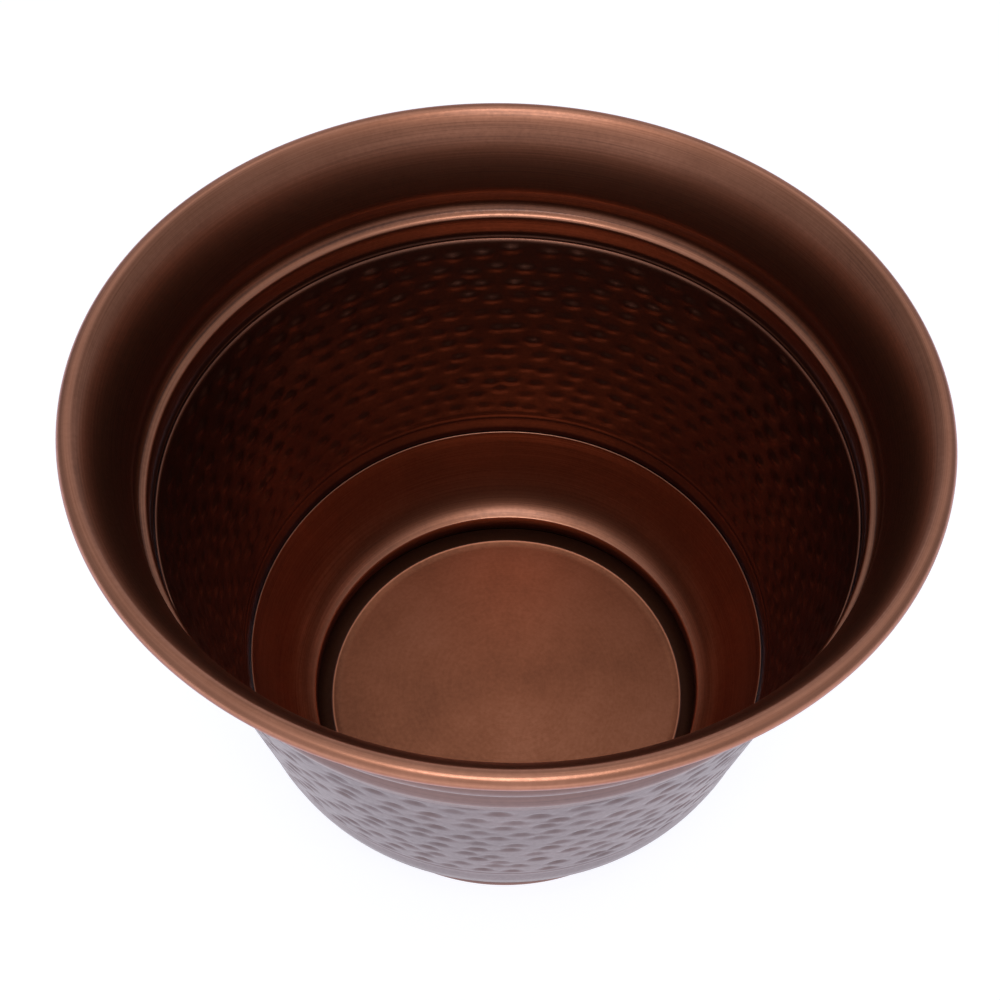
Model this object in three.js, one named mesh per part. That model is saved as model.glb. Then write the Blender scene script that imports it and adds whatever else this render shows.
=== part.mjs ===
// Hammered copper-finish pot: a wide flared vessel made of spun and rolled sheet.
//
// From the top down it is a flared collar whose lip is rolled round a steel wire, a hammered
// conical wall, a bowl that tucks in to a waist, a flared foot ring, and a floor pan with a raised
// plateau. Each lower piece stands inside the piece above it in a short lap seam, and the foot
// ring's hem is folded under the floor pan's flange.
//
// Units are millimetres. +Z is up, the pot's axis is Z, and Z = 0 is the ground under the foot.
// Every piece is a solid of revolution: its section is drawn as (radius, height) points.

import * as THREE from "three";

// ---------------------------------------------------------------- driving dimensions

const HEIGHT = 320; // ground to the top of the lip
const RIM_RADIUS = 203; // outermost radius, over the rolled lip
const SHEET = 1.0; // sheet thickness of every formed piece
const SEAM_GAP = 0.3; // solder space between two sheets, all round
const LAP = 8; // height of the overlap at both body seams

// Radii, each stepped in from the piece above it.
const RIM_OVERHANG = 26.3; // lip to the wall's inner top edge
const WALL_TAPER = 19.8; // wall's inner top edge to the bowl's inner top edge
const BOWL_TUCK = 31.9; // bowl's inner top edge to the waist
const PLATEAU_INSET = 8; // waist to the edge of the floor's raised plateau

// Heights.
const WALL_TOP_DROP = 78.2; // lip down to the wall's top edge
const BOWL_TOP = 85.5; // ground to the bowl's top edge
const WAIST_HEIGHT = 25.9; // ground to the crisp edge where the bowl meets the foot
const FLOOR_HEIGHT = 9.6; // ground to the top of the floor's plateau

// Lip.
const WIRE_RADIUS = 2.8;
const LIP_SLOPE = 44; // degrees from level, where the flare meets the roll
const NECK_SLOPE = 84; // degrees from level, where the flare leaves the neck edge
const ROLL_END = -150; // degrees, where the rolled edge stops under the wire

// Neck: places on the collar, as height above the wall's top edge and distance outside the
// cone that the wall's inner face lies on.
const NECK_GROOVE = { rise: 3.4, out: 2.5 };
const NECK_BEAD = { rise: 14.8, out: -0.6 };
const BEAD_SHOULDER = { rise: 18.9, out: 2.7 };
const UPPER_GROOVE = { rise: 24.2, out: 3.6 };
const NECK_EDGE = { rise: 31.7, out: 0.4 };

// Wall foot: places on the wall, as height above the bowl's top edge and distance outside the cone.
const WALL_GROOVE = { rise: 4.5, out: 0.1 };
const LOWER_RIDGE = { rise: 10.6, out: -0.25 };
const RIDGE_GROOVE = { rise: 12.8, out: 0 };
const UPPER_RIDGE = { rise: 15.2, out: -0.25 };
const WALL_PLAIN = { rise: 18, out: 0 };

// Lips: the top edge of the wall, and of the bowl, bends outward by a little over its last stretch.
const WALL_LIP = { drop: 3.6, out: 1.0, slope: 45 };
const BOWL_LIP = { drop: 3.5, out: 0.3, slope: 65 };

// Bowl.
const BOWL_TOP_SLOPE = 76; // degrees from level, just under the lap
const BOWL_WAIST_SLOPE = 25; // degrees from level, at the waist
const WAIST_FILLET = 1.5; // radius of the waist's edge
const WAIST_FLANGE = 10; // length of the flange turned down at the waist

// Foot ring and floor pan.
const FOOT_NECK = 8; // height of the foot's straight neck round the waist flange
const FOOT_SPREAD = 6; // how far the foot flares out from its neck to the ground
const FOOT_SLOPE = 124; // heading of the foot's side where it leaves the ground, in degrees
const HEM_WIDTH = 5; // width of the hem folded under the floor pan
const FLANGE_CLEARANCE = 0.5; // between the floor pan's rim and the foot's inner face
const PLATEAU_FILLET = 1.2; // radius of the plateau's edge
const PLATEAU_STEP_LEAN = 1.0; // how far the plateau's side leans out on its way down

const TURN_SEGMENTS = 40; // flats round each solid of revolution
const ARC_STEP = 24; // degrees of arc in one step of a rolled or folded edge
const WIRE_SIDES = 9; // flats round the wire's own section

// ---------------------------------------------------------------- sizes worked out from them

const WALL_TOP = HEIGHT - WALL_TOP_DROP;
const WALL_TOP_RADIUS = RIM_RADIUS - RIM_OVERHANG;
const BOWL_TOP_RADIUS = WALL_TOP_RADIUS - WALL_TAPER;
const WAIST_RADIUS = BOWL_TOP_RADIUS - BOWL_TUCK;
const PLATEAU_RADIUS = WAIST_RADIUS - PLATEAU_INSET;
const ROLL_RADIUS = WIRE_RADIUS + SEAM_GAP + SHEET;
const LAP_OUT = SHEET + SEAM_GAP; // an outer sheet's inner face, outside the inner sheet's
const BOWL_INSET = LAP_OUT; // bowl inside the cone, so that the wall runs straight down over it

const FOOT_NECK_RADIUS = WAIST_RADIUS + SHEET + SEAM_GAP;
const FOOT_NECK_TOP = WAIST_HEIGHT - Math.max(WAIST_FILLET, SHEET) - SEAM_GAP;
const FOOT_RADIUS = FOOT_NECK_RADIUS + FOOT_SPREAD;
const HEM_TOP = SHEET;
const FLANGE_TOP = HEM_TOP + SEAM_GAP + SHEET;

// ---------------------------------------------------------------- drawing helpers

const point = (r, z) => new THREE.Vector2(r, z);
const radians = (degrees) => THREE.MathUtils.degToRad(degrees);
const heading = (degrees) => point(Math.cos(radians(degrees)), Math.sin(radians(degrees)));

// Inner radius of the cone that the wall lies on, at a height.
const coneRadius = (z) =>
  BOWL_TOP_RADIUS + ((z - BOWL_TOP) * WALL_TAPER) / (WALL_TOP - BOWL_TOP);

const onCone = (z, out) => point(coneRadius(z) + out, z);

// The cone's slope from level, in degrees.
const coneSlope = () => THREE.MathUtils.radToDeg(Math.atan2(WALL_TOP - BOWL_TOP, WALL_TAPER));

// A place given as { rise, out } above a base height.
const place = (base, { rise, out }) => onCone(base + rise, out);

// Points of an arc, ends included.
function arc(centre, radius, fromDegrees, toDegrees) {
  const steps = Math.max(1, Math.round(Math.abs(toDegrees - fromDegrees) / ARC_STEP));
  const at = (i) => fromDegrees + ((toDegrees - fromDegrees) * i) / steps;
  return Array.from({ length: steps + 1 }, (_, i) =>
    heading(at(i)).multiplyScalar(radius).add(centre),
  );
}

// Where the line from a along headingA crosses the line from b along headingB.
function crossing(a, headingA, b, headingB) {
  const gap = b.clone().sub(a);
  const share = gap.cross(headingB) / headingA.cross(headingB);
  return a.clone().add(headingA.clone().multiplyScalar(share));
}

// A curve from a to b that leaves and arrives at the given slopes.
function sweep(a, slopeA, b, slopeB, steps) {
  const corner = crossing(a, heading(slopeA), b, heading(slopeB));
  return new THREE.QuadraticBezierCurve(a, corner, b).getPoints(steps);
}

// A sheet's top edge, bent outward from its own cone, which stands inside the wall's cone by the inset.
const lip = (top, { drop, out, slope }, inset = 0) =>
  sweep(onCone(top - drop, -inset), coneSlope(), onCone(top, out - inset), slope, 3);

// The skirt of the sheet above, which stands outside that lip.
const skirtOver = (top, { out }, inset = 0) => [
  onCone(top - LAP, LAP_OUT - inset),
  onCone(top, LAP_OUT - inset + out),
];

// The path moved sideways by a distance, to the right of the way it runs.
function offsetPath(path, distance) {
  const side = (i) => {
    const run = path[i + 1].clone().sub(path[i]).normalize();
    return point(run.y, -run.x);
  };
  return path.map((p, i) => {
    const before = side(Math.max(0, i - 1));
    const after = side(Math.min(path.length - 2, i));
    const mitre = before.clone().add(after).normalize();
    return p.clone().addScaledVector(mitre, distance / mitre.dot(after));
  });
}

// The closed section of a sheet whose visible inner face runs along a path.
const sheetSection = (path) => [...path, ...offsetPath(path, SHEET).reverse()];

const signedArea = (outline) => THREE.ShapeUtils.area(outline);

// One named solid of revolution from a closed (radius, height) outline.
function turned(name, outline, material) {
  const ring = signedArea(outline) > 0 ? [...outline] : [...outline].reverse();
  ring.push(ring[0].clone());
  const geometry = new THREE.LatheGeometry(ring, TURN_SEGMENTS);
  geometry.rotateX(Math.PI / 2);
  const mesh = new THREE.Mesh(geometry, material);
  mesh.name = name;
  return mesh;
}

// ---------------------------------------------------------------- materials

const satinCopper = new THREE.MeshStandardMaterial({ color: 0x7a4a36, roughness: 0.38, metalness: 1 });
const hammeredCopper = new THREE.MeshStandardMaterial({ color: 0x5c3a2e, roughness: 0.42, metalness: 1 });
const floorCopper = new THREE.MeshStandardMaterial({ color: 0x875642, roughness: 0.55, metalness: 1 });
const steelWire = new THREE.MeshStandardMaterial({ color: 0x8a8a8c, roughness: 0.4, metalness: 1 });

// ---------------------------------------------------------------- the pieces

const rollCentre = point(RIM_RADIUS - ROLL_RADIUS, HEIGHT - ROLL_RADIUS);

// Steel wire inside the rolled lip.
function rimWire() {
  const side = 360 / WIRE_SIDES;
  const section = Array.from({ length: WIRE_SIDES }, (_, i) =>
    heading(i * side).multiplyScalar(WIRE_RADIUS).add(rollCentre),
  );
  return turned("rim_wire", section, steelWire);
}

// Flared collar: lap skirt, neck bead with a shoulder between two grooves, flare, and the lip rolled round the wire.
function collar() {
  const [skirt, skirtTop] = skirtOver(WALL_TOP, WALL_LIP);
  const neck = new THREE.SplineCurve([
    skirtTop,
    place(WALL_TOP, NECK_GROOVE),
    place(WALL_TOP, NECK_BEAD),
    place(WALL_TOP, BEAD_SHOULDER),
    place(WALL_TOP, UPPER_GROOVE),
    place(WALL_TOP, NECK_EDGE),
  ]).getPoints(12);
  const roll = arc(rollCentre, ROLL_RADIUS, 90 + LIP_SLOPE, ROLL_END);
  const flare = sweep(neck.at(-1), NECK_SLOPE, roll[0], LIP_SLOPE, 5);
  const path = [skirt, ...neck, ...flare.slice(1), ...roll.slice(1)];
  return turned("flared_collar", sheetSection(path), satinCopper);
}

// Conical wall, with a lap skirt, a groove and two fine ridges above the bowl seam, and a bent lip.
function bodyWall() {
  const [skirt, skirtTop] = skirtOver(BOWL_TOP, BOWL_LIP, BOWL_INSET);
  const seam = new THREE.SplineCurve([
    skirtTop,
    place(BOWL_TOP, WALL_GROOVE),
    place(BOWL_TOP, LOWER_RIDGE),
    place(BOWL_TOP, RIDGE_GROOVE),
    place(BOWL_TOP, UPPER_RIDGE),
    place(BOWL_TOP, WALL_PLAIN),
  ]).getPoints(11);
  const path = [skirt, ...seam, ...lip(WALL_TOP, WALL_LIP)];
  return turned("hammered_wall", sheetSection(path), hammeredCopper);
}

// Bowl: bent lip, the tuck in to the waist, and the flange turned down inside the foot.
function lowerBowl() {
  const lapFoot = onCone(BOWL_TOP - LAP, -BOWL_INSET);
  const corner = point(WAIST_RADIUS + WAIST_FILLET, WAIST_HEIGHT - WAIST_FILLET);
  const edge = arc(corner, WAIST_FILLET, 180, 90 + BOWL_WAIST_SLOPE);
  const tuck = sweep(edge.at(-1), BOWL_WAIST_SLOPE, lapFoot, BOWL_TOP_SLOPE, 7);
  const flangeEnd = point(WAIST_RADIUS, WAIST_HEIGHT - WAIST_FLANGE);
  const path = [flangeEnd, ...edge, ...tuck.slice(1), ...lip(BOWL_TOP, BOWL_LIP, BOWL_INSET)];
  return turned("lower_bowl", sheetSection(path), satinCopper);
}

// Foot ring: hem under the floor pan, flared skirt, and a straight neck round the waist flange.
function footRing() {
  const hemEnd = point(FOOT_RADIUS - HEM_WIDTH, HEM_TOP);
  const heel = point(FOOT_RADIUS, HEM_TOP);
  const neckFoot = point(FOOT_NECK_RADIUS, FOOT_NECK_TOP - FOOT_NECK);
  const skirt = sweep(point(FOOT_RADIUS, FLANGE_TOP), FOOT_SLOPE, neckFoot, 90, 4);
  const path = [hemEnd, heel, ...skirt, point(FOOT_NECK_RADIUS, FOOT_NECK_TOP)];
  return turned("foot_ring", sheetSection(path), satinCopper);
}

// Floor pan: raised plateau, its step down, and the flange that the foot's hem folds under.
function floorPan() {
  const shoulder = point(PLATEAU_RADIUS - PLATEAU_FILLET, FLOOR_HEIGHT - PLATEAU_FILLET);
  const edge = arc(shoulder, PLATEAU_FILLET, 90, 0);
  const stepFoot = point(PLATEAU_RADIUS + PLATEAU_STEP_LEAN, FLANGE_TOP);
  const flangeRim = point(FOOT_RADIUS - FLANGE_CLEARANCE, FLANGE_TOP);
  const path = [point(0, FLOOR_HEIGHT), ...edge, stepFoot, flangeRim];
  return turned("floor_pan", sheetSection(path), floorCopper);
}

const pot = new THREE.Group();
pot.name = "hammered_copper_pot";
pot.add(rimWire(), collar(), bodyWall(), lowerBowl(), footRing(), floorPan());

export default pot;
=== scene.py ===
import math

import bpy
import numpy as np
from mathutils import Matrix, Vector


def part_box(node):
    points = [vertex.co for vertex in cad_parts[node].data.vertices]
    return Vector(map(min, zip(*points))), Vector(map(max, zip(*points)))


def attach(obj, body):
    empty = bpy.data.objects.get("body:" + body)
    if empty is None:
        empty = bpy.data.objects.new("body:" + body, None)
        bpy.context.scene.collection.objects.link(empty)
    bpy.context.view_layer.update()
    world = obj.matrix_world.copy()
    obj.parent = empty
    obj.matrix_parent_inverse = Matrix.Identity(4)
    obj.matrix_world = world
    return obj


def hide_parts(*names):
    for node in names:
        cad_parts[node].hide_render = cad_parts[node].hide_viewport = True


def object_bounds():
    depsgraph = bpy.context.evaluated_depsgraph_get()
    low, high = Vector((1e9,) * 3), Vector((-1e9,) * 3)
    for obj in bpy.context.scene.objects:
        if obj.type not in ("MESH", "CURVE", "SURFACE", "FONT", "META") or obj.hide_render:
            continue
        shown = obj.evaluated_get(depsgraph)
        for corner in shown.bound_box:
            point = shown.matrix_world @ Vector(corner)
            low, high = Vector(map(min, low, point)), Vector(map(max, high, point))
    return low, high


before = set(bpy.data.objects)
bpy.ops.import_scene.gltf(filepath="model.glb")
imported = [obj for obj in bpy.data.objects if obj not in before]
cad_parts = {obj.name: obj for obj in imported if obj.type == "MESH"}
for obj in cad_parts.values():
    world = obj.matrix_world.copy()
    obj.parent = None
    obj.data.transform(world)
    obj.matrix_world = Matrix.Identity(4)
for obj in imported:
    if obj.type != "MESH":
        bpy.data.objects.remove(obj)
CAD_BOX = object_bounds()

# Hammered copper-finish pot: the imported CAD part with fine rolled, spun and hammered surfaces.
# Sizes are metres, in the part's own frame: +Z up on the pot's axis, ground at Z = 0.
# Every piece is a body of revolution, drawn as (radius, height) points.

MM = 0.001

# ---------------------------------------------------------------- sizes

HEIGHT = CAD_BOX[1].z
RIM_RADIUS = CAD_BOX[1].x
SHEET = 1.0 * MM
SEAM_GAP = 0.3 * MM
LAP = 8 * MM

# Radii, each stepped in from the piece above it.
RIM_OVERHANG = 26.3 * MM
WALL_TAPER = 19.8 * MM
BOWL_TUCK = 31.9 * MM
PLATEAU_INSET = 8 * MM
WALL_TOP_RADIUS = RIM_RADIUS - RIM_OVERHANG
BOWL_TOP_RADIUS = WALL_TOP_RADIUS - WALL_TAPER
WAIST_RADIUS = BOWL_TOP_RADIUS - BOWL_TUCK
PLATEAU_RADIUS = WAIST_RADIUS - PLATEAU_INSET

# Heights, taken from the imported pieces.
WALL_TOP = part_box("hammered_wall")[1].z
BOWL_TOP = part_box("lower_bowl")[1].z
WAIST_FLANGE = 10 * MM
WAIST_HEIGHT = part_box("lower_bowl")[0].z + WAIST_FLANGE
FLOOR_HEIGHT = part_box("floor_pan")[1].z
FLANGE_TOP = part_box("floor_pan")[0].z + SHEET

# How far a sheet stands outside the one that it laps over. The bowl stands in by as much.
LAP_OUT = SHEET + SEAM_GAP
BOWL_INSET = LAP_OUT

# Lip: the sheet rolls round the wire. Slopes are degrees from level, and the roll ends at an angle.
WIRE_RADIUS = 2.8 * MM
ROLL_RADIUS = WIRE_RADIUS + SEAM_GAP + SHEET
LIP_SLOPE, NECK_SLOPE, ROLL_END = 44, 84, -150

# The lip stays bare copper: the outside's haze, which is partly a painted reflection of the pale floor, starts
# below this height, over this stretch.
PLAIN_LIP_HEIGHT = HEIGHT - ROLL_RADIUS
PLAIN_LIP_FADE = 8 * MM

# Neck and wall foot, in millimetres: (height above the seam, distance outside the wall's cone).
NECK_SHAPE = [(3.4, 2.5), (14.8, -0.6), (18.9, 2.7), (24.2, 3.6), (31.7, 0.4)]
WALL_FOOT_SHAPE = [(4.5, 0.1), (10.6, -0.25), (12.8, 0), (15.2, -0.25), (18, 0)]

# Bent top edges of the wall and the bowl: (last stretch, how far out, slope in degrees).
WALL_LIP = (3.6 * MM, 1.0 * MM, 45)
BOWL_LIP = (3.5 * MM, 0.3 * MM, 65)

# Bowl, from its top to the turned-down flange at the waist.
BOWL_TOP_SLOPE, BOWL_WAIST_SLOPE = 76, 25
WAIST_FILLET = 1.5 * MM

# Foot ring: a straight neck round that flange, a flared side, and a hem folded under the floor.
FOOT_NECK = 8 * MM
FOOT_SPREAD = 6 * MM
FOOT_SLOPE = 124
HEM_WIDTH = 5 * MM
FOOT_NECK_RADIUS = WAIST_RADIUS + LAP_OUT
FOOT_NECK_TOP = WAIST_HEIGHT - WAIST_FILLET - SEAM_GAP
FOOT_RADIUS = FOOT_NECK_RADIUS + FOOT_SPREAD

# Floor: a plateau with a low rim round it, and a step down to a flange. It leaves a pinhole on the axis.
FLANGE_CLEARANCE = 0.5 * MM
PLATEAU_FILLET = 1.2 * MM
PLATEAU_STEP_LEAN = 1.0 * MM
PLATEAU_RIM = 0.7 * MM
PLATEAU_RIM_WIDTH = PLATEAU_RIM * 1.4
AXIS_GAP = 0.01 * MM

# Wear: how much a bend changes it, the most that it can, and how much of the grooves' patina the outside loses.
BEND_WEAR = 2
BEND_WEAR_LIMIT = 0.6
OUTSIDE_FADING = 0.8

# Painted shade in the crevices just above the two seams, on the inside only: where, how far it lowers the wear,
# and how far it reaches.
WALL_CREVICE = WALL_TOP + 1.2 * MM
BOWL_CREVICE = BOWL_TOP + 1.8 * MM
SEAM_SHADE = 0.55
SEAM_SHADE_REACH = 3 * MM

# Hammer marks: staggered rows of oval dents, struck from outside.
MARK_ROWS = 12
MARKS_PER_ROW = 60
MARK_BOTTOM = BOWL_TOP + 22 * MM
MARK_TOP = WALL_TOP - 9.5 * MM
MARK_HALF = (6.8 * MM, 4.0 * MM)
MARK_DEPTH = 1.4 * MM

# Their scatter. Distances round the wall are in marks, and strengths are shares of the depth.
MARK_SEED = 11
ROW_DRIFT = (0.25, 0.6)
SCATTER_ROUND = 0.12
SCATTER_UP = 1.3 * MM
MARK_STRENGTH = (0.6, 1.15)
MARK_TILT = 0.1
MARK_REACH = 1.4

SPUN_SEGMENTS = 256
HAMMERED_SEGMENTS = 376
HAMMERED_ROWS = 90

# ---------------------------------------------------------------- drawing helpers


def point(radius, height):
    return np.array([radius, height], float)


def heading(degrees):
    return point(math.cos(math.radians(degrees)), math.sin(math.radians(degrees)))


def on_cone(height, out=0.0):
    """A point that lies outside the wall's inner cone by a distance."""
    share = (height - BOWL_TOP) / (WALL_TOP - BOWL_TOP)
    return point(BOWL_TOP_RADIUS + share * (WALL_TOP_RADIUS - BOWL_TOP_RADIUS) + out, height)


def lip(top, bend, inset=0.0):
    """A sheet's top edge, bent outward from its own cone, which stands in from the wall's by the inset."""
    drop, out, slope = bend
    cone_slope = math.degrees(math.atan2(WALL_TOP - BOWL_TOP, WALL_TOP_RADIUS - BOWL_TOP_RADIUS))
    return sweep(on_cone(top - drop, -inset), cone_slope, on_cone(top, out - inset), slope, steps=8)


def seam(top, bend, shape, steps, inset=0.0):
    """The skirt that stands outside that lip, and the moulding above it."""
    skirt_top = on_cone(top, LAP_OUT - inset + bend[1])
    moulding = smooth([skirt_top] + [on_cone(top + up * MM, out * MM) for up, out in shape], steps)
    return [on_cone(top - LAP, LAP_OUT - inset), *moulding]


def arc(centre, radius, start, end, step=8):
    """An arc from one angle to another, in degrees, in steps of about the given size."""
    count = max(1, round(abs(end - start) / step))
    return [centre + radius * heading(a) for a in np.linspace(start, end, count + 1)]


def smooth(points, steps):
    """A Catmull-Rom curve through the points."""
    last = len(points) - 1
    curve = []
    for t in np.linspace(0, last, steps + 1):
        i = min(int(t), last - 1)
        w = t - i
        p0, p1, p2, p3 = (points[min(max(i + k, 0), last)] for k in (-1, 0, 1, 2))
        v0, v1 = (p2 - p0) / 2, (p3 - p1) / 2
        cubic = (2 * p1 - 2 * p2 + v0 + v1) * w**3 + (3 * p2 - 3 * p1 - 2 * v0 - v1) * w**2
        curve.append(cubic + v0 * w + p1)
    return curve


def sweep(a, slope_a, b, slope_b, steps):
    """A curve from a to b that leaves and arrives at the given slopes."""
    da, db = heading(slope_a), heading(slope_b)
    gap = b - a
    corner = a + da * (gap[0] * db[1] - gap[1] * db[0]) / (da[0] * db[1] - da[1] * db[0])
    return [(1 - t) ** 2 * a + 2 * t * (1 - t) * corner + t**2 * b for t in np.linspace(0, 1, steps + 1)]


def offset(path, distance):
    """The path moved to the right of the way it runs."""
    path = np.asarray(path)
    runs = np.diff(path, axis=0)
    runs /= np.linalg.norm(runs, axis=1)[:, None]
    sides = np.column_stack([runs[:, 1], -runs[:, 0]])
    before = np.vstack([sides[:1], sides])
    after = np.vstack([sides, sides[-1:]])
    mitre = before + after
    mitre /= np.linalg.norm(mitre, axis=1)[:, None]
    return path + mitre * (distance / (mitre * after).sum(axis=1))[:, None]


def sheet_section(path):
    """The closed section of a sheet with round edges, whose visible face runs along the path.

    Points nearer to an end than the sheet is thick are dropped, so that the rounding can't fold the path back.
    """
    path = list(path)
    for end, nxt in ((0, 1), (-1, -2)):
        while np.linalg.norm(path[nxt] - path[end]) < SHEET:
            del path[nxt]
        run = path[nxt] - path[end]
        path[end] = path[end] + run / np.linalg.norm(run) * SHEET / 2
    back = offset(path, SHEET)[::-1]

    def edge(a, b):
        middle, half = (a + b) / 2, (b - a) / 2
        out = point(-half[1], half[0])
        return [middle - half * math.cos(t) + out * math.sin(t) for t in np.radians([30, 60, 90, 120, 150])]

    return np.vstack([path, edge(path[-1], back[0]), back, edge(back[-1], path[0])])


def turned(name, outline, segments, dent=None):
    """A body of revolution. dent gives how far each place moves in, from its angle and height."""
    outline = np.asarray(outline)
    count = len(outline)
    x, y = outline.T
    if np.sum(x * np.roll(y, -1) - y * np.roll(x, -1)) < 0:
        outline = outline[::-1]
    angles = np.linspace(0, 2 * math.pi, segments, endpoint=False)
    radius = np.tile(outline[:, 0], (segments, 1))
    height = np.tile(outline[:, 1], (segments, 1))
    if dent is not None:
        radius = radius - dent(angles[:, None], height)
    places = np.stack([radius * np.cos(angles)[:, None], radius * np.sin(angles)[:, None], height], axis=-1)
    near = np.arange(segments)[:, None] * count + np.arange(count)
    far = np.roll(near, -1, axis=0)
    quads = np.stack([near, far, np.roll(far, -1, axis=1), np.roll(near, -1, axis=1)], axis=-1)
    mesh = bpy.data.meshes.new(name)
    mesh.from_pydata(places.reshape(-1, 3).tolist(), [], quads.reshape(-1, 4).tolist())
    mesh.shade_smooth()
    piece = bpy.data.objects.new(name, mesh)
    bpy.context.collection.objects.link(piece)
    store_wear_and_seam_shade(mesh, outline, radius)
    return piece


def store_wear_and_seam_shade(mesh, outline, radius):
    """Writes two values at each vertex: wear, above 0.5 on crests and below it in grooves and in the painted
    shade above the seams, and outside.

    outside is near 1 on faces that look outward, and there the grooves are darkened less.
    """
    before, after = outline - np.roll(outline, 1, axis=0), np.roll(outline, -1, axis=0) - outline
    lengths = np.linalg.norm(before, axis=1) + np.linalg.norm(after, axis=1)
    turn = before[:, 0] * after[:, 1] - before[:, 1] * after[:, 0]
    turn /= np.linalg.norm(before, axis=1) * np.linalg.norm(after, axis=1)
    bend = np.clip(turn / lengths * BEND_WEAR * MM, -BEND_WEAR_LIMIT, BEND_WEAR_LIMIT)
    outside = np.clip(0.3 + 1.5 * (before + after)[:, 1] / lengths, 0, 1)
    outside *= np.clip((PLAIN_LIP_HEIGHT - outline[:, 1]) / PLAIN_LIP_FADE, 0, 1)
    bend = np.where(bend < 0, bend * (1 - OUTSIDE_FADING * outside), bend)
    from_seam = np.min([abs(outline[:, 1] - crevice) for crevice in (WALL_CREVICE, BOWL_CREVICE)], axis=0)
    # Painted shade: inward faces just above the two seams are darkened, where the crevices lie in shadow.
    bend -= SEAM_SHADE * np.clip(1 - (from_seam / SEAM_SHADE_REACH) ** 2, 0, 1) * (1 - outside)
    for label, numbers in (("wear_and_seam_shade", 0.5 + bend), ("outside", outside)):
        values = mesh.attributes.new(label, "FLOAT", "POINT")
        values.data.foreach_set("value", np.tile(numbers, len(radius)).astype(np.float32))


# ---------------------------------------------------------------- hammer marks


def hammer_marks():
    """A function giving the dents' depth at an angle and height."""
    rng = np.random.default_rng(MARK_SEED)
    mean_radius = (WALL_TOP_RADIUS + BOWL_TOP_RADIUS) / 2
    marks = []
    drift = 0.0
    for height in np.linspace(MARK_BOTTOM, MARK_TOP, MARK_ROWS):
        drift += rng.uniform(*ROW_DRIFT)
        for i in range(MARKS_PER_ROW):
            angle = (i + drift + rng.normal(0, SCATTER_ROUND)) * 2 * math.pi / MARKS_PER_ROW
            mark_height = height + rng.normal(0, SCATTER_UP)
            marks.append((angle, mark_height, rng.uniform(*MARK_STRENGTH), rng.normal(0, MARK_TILT)))

    def depth(angle, height):
        total = np.zeros(np.broadcast(angle, height).shape)
        for mark_angle, mark_height, strength, tilt in marks:
            around = (angle - mark_angle + math.pi) % (2 * math.pi) - math.pi
            near = np.abs(around[:, 0]) * mean_radius < MARK_HALF[0] * MARK_REACH
            across = around[near] * mean_radius
            up = height[near] - mark_height
            u = (across + up * tilt) / MARK_HALF[0]
            v = (up - across * tilt) / MARK_HALF[1]
            bump = np.clip(1 - u**2 - v**2, 0, None) ** 2
            total[near] = np.maximum(total[near], bump * strength * MARK_DEPTH)
        return total

    return depth


# ---------------------------------------------------------------- materials


class Nodes:
    """A short way to add and link nodes in one tree."""

    def __init__(self, tree):
        self.tree = tree

    def add(self, kind, inputs=(), **settings):
        node = self.tree.nodes.new(kind)
        for key, value in settings.items():
            setattr(node, key, value)
        for key, value in dict(inputs).items():
            if isinstance(value, bpy.types.NodeSocket):
                self.tree.links.new(value, node.inputs[key])
            else:
                node.inputs[key].default_value = value
        return node

    def math(self, operation, *values):
        return self.add("ShaderNodeMath", dict(enumerate(values)), operation=operation).outputs[0]

    def remap(self, value, low, high, out_low=0.0, out_high=1.0):
        ends = {"Value": value, "From Min": low, "From Max": high, "To Min": out_low, "To Max": out_high}
        return self.add("ShaderNodeMapRange", ends).outputs["Result"]

    def mix(self, share, a, b):
        inputs = {"Factor": share, "A": a, "B": b}
        node = self.tree.nodes.new("ShaderNodeMix")
        node.data_type = "RGBA"
        for name, value in inputs.items():
            socket = next(s for s in node.inputs if s.name == name and s.enabled)
            if isinstance(value, bpy.types.NodeSocket):
                self.tree.links.new(value, socket)
            else:
                socket.default_value = value
        return next(s for s in node.outputs if s.enabled)

    def noise(self, vector, scale, detail=4.0, roughness=0.55):
        inputs = {"Vector": vector, "Scale": scale, "Detail": detail, "Roughness": roughness}
        return self.add("ShaderNodeTexNoise", inputs).outputs["Fac"]


def new_material(name):
    material = bpy.data.materials.new(name)
    material.use_nodes = True
    material.node_tree.nodes.clear()
    return material, Nodes(material.node_tree)


# Spun lines: how often they change on their way round, and how much the radius counts beside the height.
LINE_CHANGES = 9.0
LINE_LEAN = 0.83


def spun_lines(nodes, position, pitch):
    """Noise drawn out into fine rings round the axis."""
    x, y, z = nodes.add("ShaderNodeSeparateXYZ", {0: position}).outputs
    square = nodes.math("ADD", nodes.math("MULTIPLY", x, x), nodes.math("MULTIPLY", y, y))
    rise = nodes.math("DIVIDE", z, pitch)
    out = nodes.math("DIVIDE", nodes.math("SQRT", square), pitch)
    stretched = {
        0: nodes.math("MULTIPLY", x, LINE_CHANGES),
        1: nodes.math("MULTIPLY", y, LINE_CHANGES),
        2: nodes.math("ADD", rise, nodes.math("MULTIPLY", out, LINE_LEAN)),
    }
    return nodes.noise(nodes.add("ShaderNodeCombineXYZ", stretched).outputs[0], 1.0, 3.0, 0.6)


# Copper: noise scales per metre, the lines' pitch, and the haze and lacquer that only the outside has. The haze
# is a lilac-grey film colour that also paints in the pale floor's reflection and lightens the shaded grooves.
CLOUD_SCALE, SPECKLE_SCALE = 14.0, 420.0
COPPER_LINE_PITCH, STEEL_LINE_PITCH = 0.6 * MM, 0.3 * MM
GRAZING_TINT = (0.8, 0.74, 0.86, 1)
HAZE_AND_REFLECTION = (0.1, 0.077, 0.092, 1)
HAZE_AND_REFLECTION_SHARE = 0.6
OUTSIDE_LACQUER = 0.28


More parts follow.
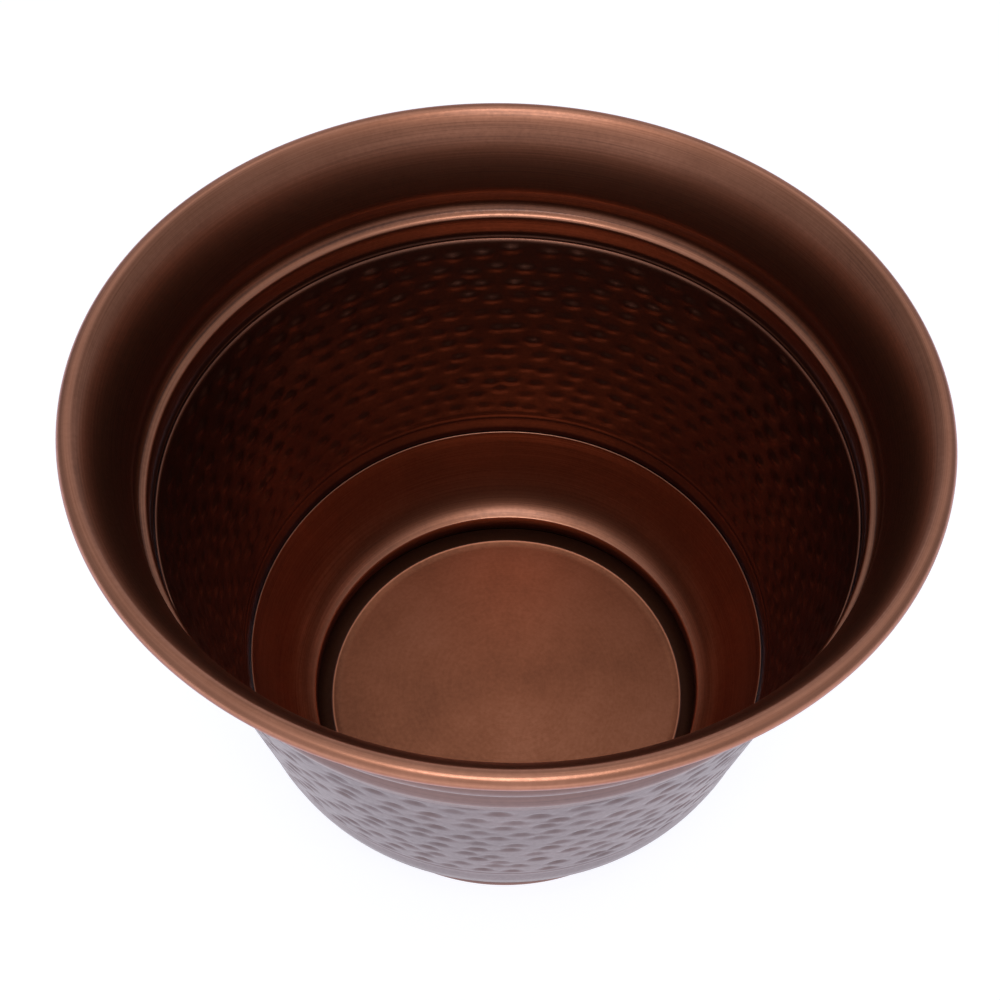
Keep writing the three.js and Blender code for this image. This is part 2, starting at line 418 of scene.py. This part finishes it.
def copper(name, worn, body, patina, roughness, lines, clouds, lacquer=0.0, turned_gloss=0.0):
    """Antiqued copper: patina in the recesses, worn metal on the crests, painted shade above the seams on the
    inside, cloudy tarnish and spun lines, and on the outside a haze film that also paints in the pale floor's
    reflection.

    lines and clouds say how far those two shift the wear, and lacquer is the inside's coat.
    """
    material, nodes = new_material(name)
    position = nodes.add("ShaderNodeTexCoord").outputs["Object"]
    # The wear values also carry the painted shade above the seams.
    wear_and_shade = nodes.add("ShaderNodeAttribute", attribute_name="wear_and_seam_shade").outputs["Fac"]
    outside = nodes.add("ShaderNodeAttribute", attribute_name="outside").outputs["Fac"]
    cloud = nodes.noise(position, CLOUD_SCALE, 5.0, 0.6)
    speckle = nodes.noise(position, SPECKLE_SCALE, 3.0, 0.6)
    ring = spun_lines(nodes, position, COPPER_LINE_PITCH)

    cloudy = nodes.remap(cloud, 0.35, 0.65, -clouds, clouds)
    ringed = nodes.remap(ring, 0.3, 0.7, -lines, lines)
    grain = nodes.remap(speckle, 0.3, 0.7, -0.05, 0.05)
    uneven = nodes.math("ADD", nodes.math("ADD", cloudy, ringed), grain)
    shown = nodes.math("ADD", wear_and_shade, uneven)
    dark_share = nodes.remap(shown, 0.05, 0.5)
    worn_share = nodes.remap(shown, 0.5, 1.0)
    colour = nodes.mix(worn_share, nodes.mix(dark_share, patina, body), worn)
    # Outward faces get the haze film in place of bare metal. This film is partly a painted reflection of the
    # pale floor.
    haze_and_reflection = nodes.remap(outside, 0.6, 1.0, 0.0, HAZE_AND_REFLECTION_SHARE)
    colour = nodes.mix(haze_and_reflection, colour, HAZE_AND_REFLECTION)

    speckled = nodes.math("ADD", shown, nodes.remap(speckle, 0.3, 0.7, -0.15, 0.15))
    rough = nodes.math("ADD", nodes.remap(speckled, 0.1, 1.0, 0.08, -0.08), roughness)
    relief = nodes.math("ADD", nodes.math("MULTIPLY", ring, lines * 2), nodes.math("MULTIPLY", speckle, 0.25))
    bump = nodes.add("ShaderNodeBump", {"Strength": 0.22, "Distance": 0.15 * MM, "Height": relief}).outputs[0]
    shader_inputs = {
        "Base Color": colour,
        "Metallic": nodes.math("SUBTRACT", 1.0, haze_and_reflection),
        "Roughness": rough,
        "Anisotropic": turned_gloss,
        "Specular Tint": GRAZING_TINT,
        "Coat Weight": nodes.remap(outside, 0.3, 1.0, lacquer, OUTSIDE_LACQUER),
        "Coat Roughness": 0.24,
        "Coat IOR": 1.75,
        "Normal": bump,
    }
    if turned_gloss:
        tangent = nodes.add("ShaderNodeTangent", direction_type="RADIAL", axis="Z")
        shader_inputs["Tangent"] = tangent.outputs[0]
    shader = nodes.add("ShaderNodeBsdfPrincipled", shader_inputs)
    nodes.add("ShaderNodeOutputMaterial", {"Surface": shader.outputs[0]})
    return material


def steel():
    """Drawn steel wire with faint lines along it."""
    material, nodes = new_material("steel_wire")
    position = nodes.add("ShaderNodeTexCoord").outputs["Object"]
    ring = spun_lines(nodes, position, STEEL_LINE_PITCH)
    colour = nodes.mix(ring, (0.32, 0.31, 0.3, 1), (0.55, 0.54, 0.52, 1))
    bump = nodes.add("ShaderNodeBump", {"Strength": 0.2, "Distance": 0.05 * MM, "Height": ring}).outputs[0]
    shader_inputs = {
        "Base Color": colour,
        "Metallic": 1.0,
        "Roughness": nodes.remap(ring, 0.3, 0.7, 0.28, 0.45),
        "Normal": bump,
    }
    shader = nodes.add("ShaderNodeBsdfPrincipled", shader_inputs)
    nodes.add("ShaderNodeOutputMaterial", {"Surface": shader.outputs[0]})
    return material


satin = copper(
    "satin_copper",
    worn=(0.56, 0.245, 0.15, 1), body=(0.34, 0.135, 0.075, 1), patina=(0.11, 0.042, 0.026, 1),
    roughness=0.38, lines=0.16, clouds=0.08, lacquer=0.25, turned_gloss=0.35,
)
hammered = copper(
    "hammered_copper",
    worn=(0.42, 0.185, 0.12, 1), body=(0.2, 0.09, 0.06, 1), patina=(0.07, 0.03, 0.024, 1),
    roughness=0.34, lines=0.05, clouds=0.1,
)
floor_metal = copper(
    "floor_copper",
    worn=(0.68, 0.3, 0.18, 1), body=(0.45, 0.175, 0.092, 1), patina=(0.17, 0.068, 0.042, 1),
    roughness=0.5, lines=0.03, clouds=0.09,
)

# ---------------------------------------------------------------- pieces

ROLL_CENTRE = point(RIM_RADIUS - ROLL_RADIUS, HEIGHT - ROLL_RADIUS)


def collar():
    neck = seam(WALL_TOP, WALL_LIP, NECK_SHAPE, steps=50)
    roll = arc(ROLL_CENTRE, ROLL_RADIUS, 90 + LIP_SLOPE, ROLL_END)
    flare = sweep(neck[-1], NECK_SLOPE, roll[0], LIP_SLOPE, steps=18)
    return turned("collar", sheet_section([*neck, *flare[1:], *roll[1:]]), SPUN_SEGMENTS)


def body_wall():
    wall_foot = seam(BOWL_TOP, BOWL_LIP, WALL_FOOT_SHAPE, steps=26, inset=BOWL_INSET)
    top = lip(WALL_TOP, WALL_LIP)
    plain = [on_cone(h) for h in np.linspace(wall_foot[-1][1], top[0][1], HAMMERED_ROWS)]
    path = [*wall_foot, *plain[1:], *top[1:]]
    return turned("body_wall", sheet_section(path), HAMMERED_SEGMENTS, hammer_marks())


def bowl():
    lap_foot = on_cone(BOWL_TOP - LAP, -BOWL_INSET)
    corner = point(WAIST_RADIUS + WAIST_FILLET, WAIST_HEIGHT - WAIST_FILLET)
    edge = arc(corner, WAIST_FILLET, 180, 90 + BOWL_WAIST_SLOPE, step=12)
    tuck = sweep(edge[-1], BOWL_WAIST_SLOPE, lap_foot, BOWL_TOP_SLOPE, steps=40)
    flange_end = point(WAIST_RADIUS, WAIST_HEIGHT - WAIST_FLANGE)
    path = [flange_end, *edge, *tuck[1:], *lip(BOWL_TOP, BOWL_LIP, BOWL_INSET)]
    return turned("bowl", sheet_section(path), SPUN_SEGMENTS)


def foot():
    hem_end = point(FOOT_RADIUS - HEM_WIDTH, SHEET)
    heel = arc(point(FOOT_RADIUS - SHEET, SHEET * 2), SHEET, -90, 0, step=18)
    neck_foot = point(FOOT_NECK_RADIUS, FOOT_NECK_TOP - FOOT_NECK)
    skirt = sweep(point(FOOT_RADIUS, FLANGE_TOP), FOOT_SLOPE, neck_foot, 90, steps=20)
    path = [hem_end, *heel, *skirt, point(FOOT_NECK_RADIUS, FOOT_NECK_TOP)]
    return turned("foot", sheet_section(path), SPUN_SEGMENTS)


def pan():
    shoulder = point(PLATEAU_RADIUS - PLATEAU_FILLET, FLOOR_HEIGHT - PLATEAU_FILLET)
    edge = arc(shoulder, PLATEAU_FILLET, 90, 0, step=12)
    step_foot = point(PLATEAU_RADIUS + PLATEAU_STEP_LEAN, FLANGE_TOP)
    flange_rim = point(FOOT_RADIUS - FLANGE_CLEARANCE, FLANGE_TOP)
    rim_foot = point(shoulder[0] - PLATEAU_RIM_WIDTH, FLOOR_HEIGHT - PLATEAU_RIM)
    flat = [point(r, rim_foot[1]) for r in (AXIS_GAP, AXIS_GAP * 4, *np.linspace(2 * MM, rim_foot[0], 24))]
    path = [*flat, *edge, step_foot, flange_rim]
    return turned("pan", np.vstack([path, offset(path, SHEET)[::-1]]), SPUN_SEGMENTS)


def finish_piece(piece, material, node):
    piece.data.materials.append(material)
    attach(piece, "root")
    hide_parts(node)


finish_piece(collar(), satin, "flared_collar")
finish_piece(body_wall(), hammered, "hammered_wall")
finish_piece(bowl(), satin, "lower_bowl")
finish_piece(foot(), satin, "foot_ring")
finish_piece(pan(), floor_metal, "floor_pan")
for material_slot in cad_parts["rim_wire"].material_slots:
    material_slot.material = steel()

# ---------------------------------------------------------------- studio


def studio_floor():
    """A large pale floor, bright enough to read as white, with a faint contact shadow."""
    bpy.ops.mesh.primitive_circle_add(vertices=128, radius=12, fill_type="NGON")
    ground = bpy.context.object
    ground.name = "studio_floor"
    material, nodes = new_material("studio_floor")
    inputs = {
        "Base Color": (0.5, 0.5, 0.53, 1),
        "Roughness": 0.9,
        "Specular IOR Level": 0.0,
        "Emission Color": (0.92, 0.94, 1, 1),
        "Emission Strength": 0.8,
    }
    shader = nodes.add("ShaderNodeBsdfPrincipled", inputs)
    nodes.add("ShaderNodeOutputMaterial", {"Surface": shader.outputs[0]})
    ground.data.materials.append(material)


def sky():
    """Cool white, dimmer overhead, behind and to the sides."""
    world = bpy.data.worlds.new("studio")
    bpy.context.scene.world = world
    world.use_nodes = True
    world.node_tree.nodes.clear()
    nodes = Nodes(world.node_tree)
    direction = nodes.add("ShaderNodeTexCoord").outputs["Generated"]
    toward = nodes.add("ShaderNodeSeparateXYZ", {0: direction}).outputs
    raised = nodes.remap(toward[2], 0.2, 0.9, 0.85, 0.6)
    behind = nodes.remap(toward[1], -0.2, 0.7, 1.0, 0.75)
    aside = nodes.remap(nodes.math("ABSOLUTE", toward[0]), 0.35, 0.8, 1.0, 0.45)
    level = nodes.math("MULTIPLY", nodes.math("MULTIPLY", raised, behind), aside)
    background = nodes.add("ShaderNodeBackground", {"Color": (0.93, 0.94, 1, 1), "Strength": level})
    nodes.add("ShaderNodeOutputWorld", {"Surface": background.outputs[0]})


def softbox(name, place, size, power):
    lamp = bpy.data.lights.new(name, "AREA")
    lamp.shape = "DISK"
    lamp.size = size
    lamp.energy = power
    holder = bpy.data.objects.new(name, lamp)
    holder.location = place
    holder.rotation_mode = "QUATERNION"
    holder.rotation_quaternion = (Vector(place) - Vector((0, 0, HEIGHT / 2))).to_track_quat("Z", "Y")
    holder.visible_camera = False
    bpy.context.collection.objects.link(holder)


# The camera's place, in rim radii from the middle of the mouth, and how it is aimed and framed.
CAMERA_PLACE = (0.1685, -1.8193, 1.9698)
DEGREES_BELOW_LEVEL, DEGREES_ROLLED = 53.38, 6.12
LENS_MM, SENSOR_MM, SIDE_SHIFT = 42.37, 36, -0.0791


def camera():
    """Looks down into the pot, rolled a little, with the frame shifted to one side."""
    data = bpy.data.cameras.new("camera")
    data.sensor_width = SENSOR_MM
    data.lens = LENS_MM
    data.shift_x = SIDE_SHIFT
    data.clip_start, data.clip_end = 0.02, 60
    holder = bpy.data.objects.new("camera", data)
    down, roll = math.radians(90 - DEGREES_BELOW_LEVEL), math.radians(DEGREES_ROLLED)
    place = Vector(CAMERA_PLACE) * RIM_RADIUS + Vector((0, 0, HEIGHT))
    turn = Matrix.Rotation(down, 4, "X") @ Matrix.Rotation(roll, 4, "Z")
    holder.matrix_world = Matrix.Translation(place) @ turn
    bpy.context.collection.objects.link(holder)
    bpy.context.scene.camera = holder


studio_floor()
sky()
softbox("key", place=(0.1, -0.85, 1.75), size=0.8, power=6.8)
softbox("overhead", place=(0.0, 0.3, 1.9), size=1.0, power=1.2)
camera()
bpy.context.scene.view_settings.view_transform = "Standard"
